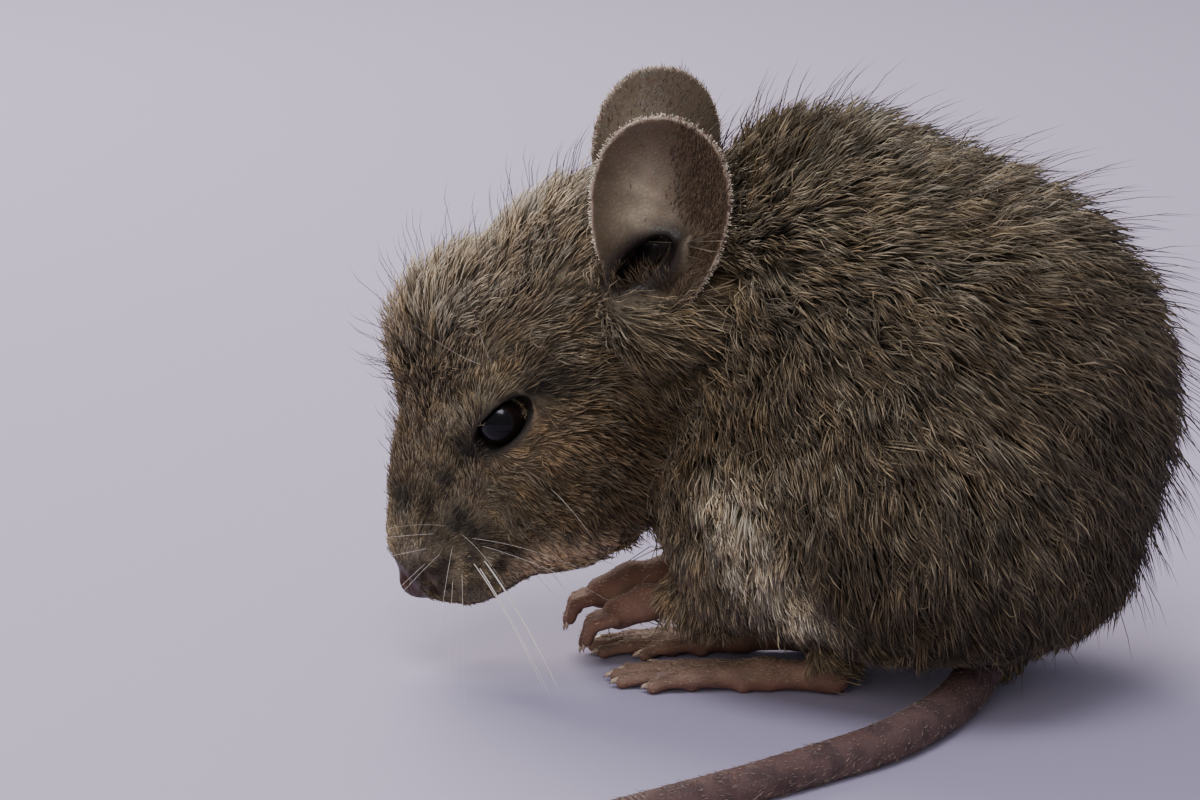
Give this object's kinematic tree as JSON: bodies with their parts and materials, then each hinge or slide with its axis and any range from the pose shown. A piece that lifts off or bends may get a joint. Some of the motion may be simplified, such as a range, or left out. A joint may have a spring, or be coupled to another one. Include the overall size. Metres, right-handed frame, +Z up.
{
  "type": "house mouse",
  "caption": "Grey-brown young house mouse sitting hunched on its hind feet, head bowed, forepaws held under the chin and tail curled along the floor.",
  "frame": {"origin": "on the floor, below the middle of the bounding box", "axes": "+Z up; the nose points to -X, the rump to +X; the animal's left side is at -Y, where the tail lies"},
  "size_m": [0.0568, 0.055, 0.0392],
  "materials": {
    "coat": "dense grey-brown agouti fur, dark-based and pale-tipped",
    "under_coat": "paler soft fur of the throat and belly",
    "skin": "thin pinkish-brown skin with fine pale hairs",
    "ear_skin": "thin brown-grey skin, paler in the middle, with sparse short hairs",
    "tail_skin": "ringed scaly pinkish-brown skin with fine short hairs",
    "nose_skin": "moist bare reddish-brown skin",
    "eyeball": "wet glossy black eye"
  },
  "bodies": {
    "root": {"head": "coat", "lower_jaw": "under_coat", "nose": "nose_skin", "eye_left": "eyeball", "eye_right": "eyeball", "ear_left": "ear_skin", "ear_right": "ear_skin", "neck": "coat", "trunk": "coat", "shoulder_left": "coat", "shoulder_right": "coat", "foreleg_left": "coat", "foreleg_right": "coat", "forepaw_left": "skin", "forepaw_right": "skin", "haunch_left": "coat", "haunch_right": "coat", "hind_foot_left": "skin", "hind_foot_right": "skin", "tail_1": "tail_skin", "tail_2": "tail_skin", "tail_3": "tail_skin", "tail_4": "tail_skin"}
  },
  "joints": []
}
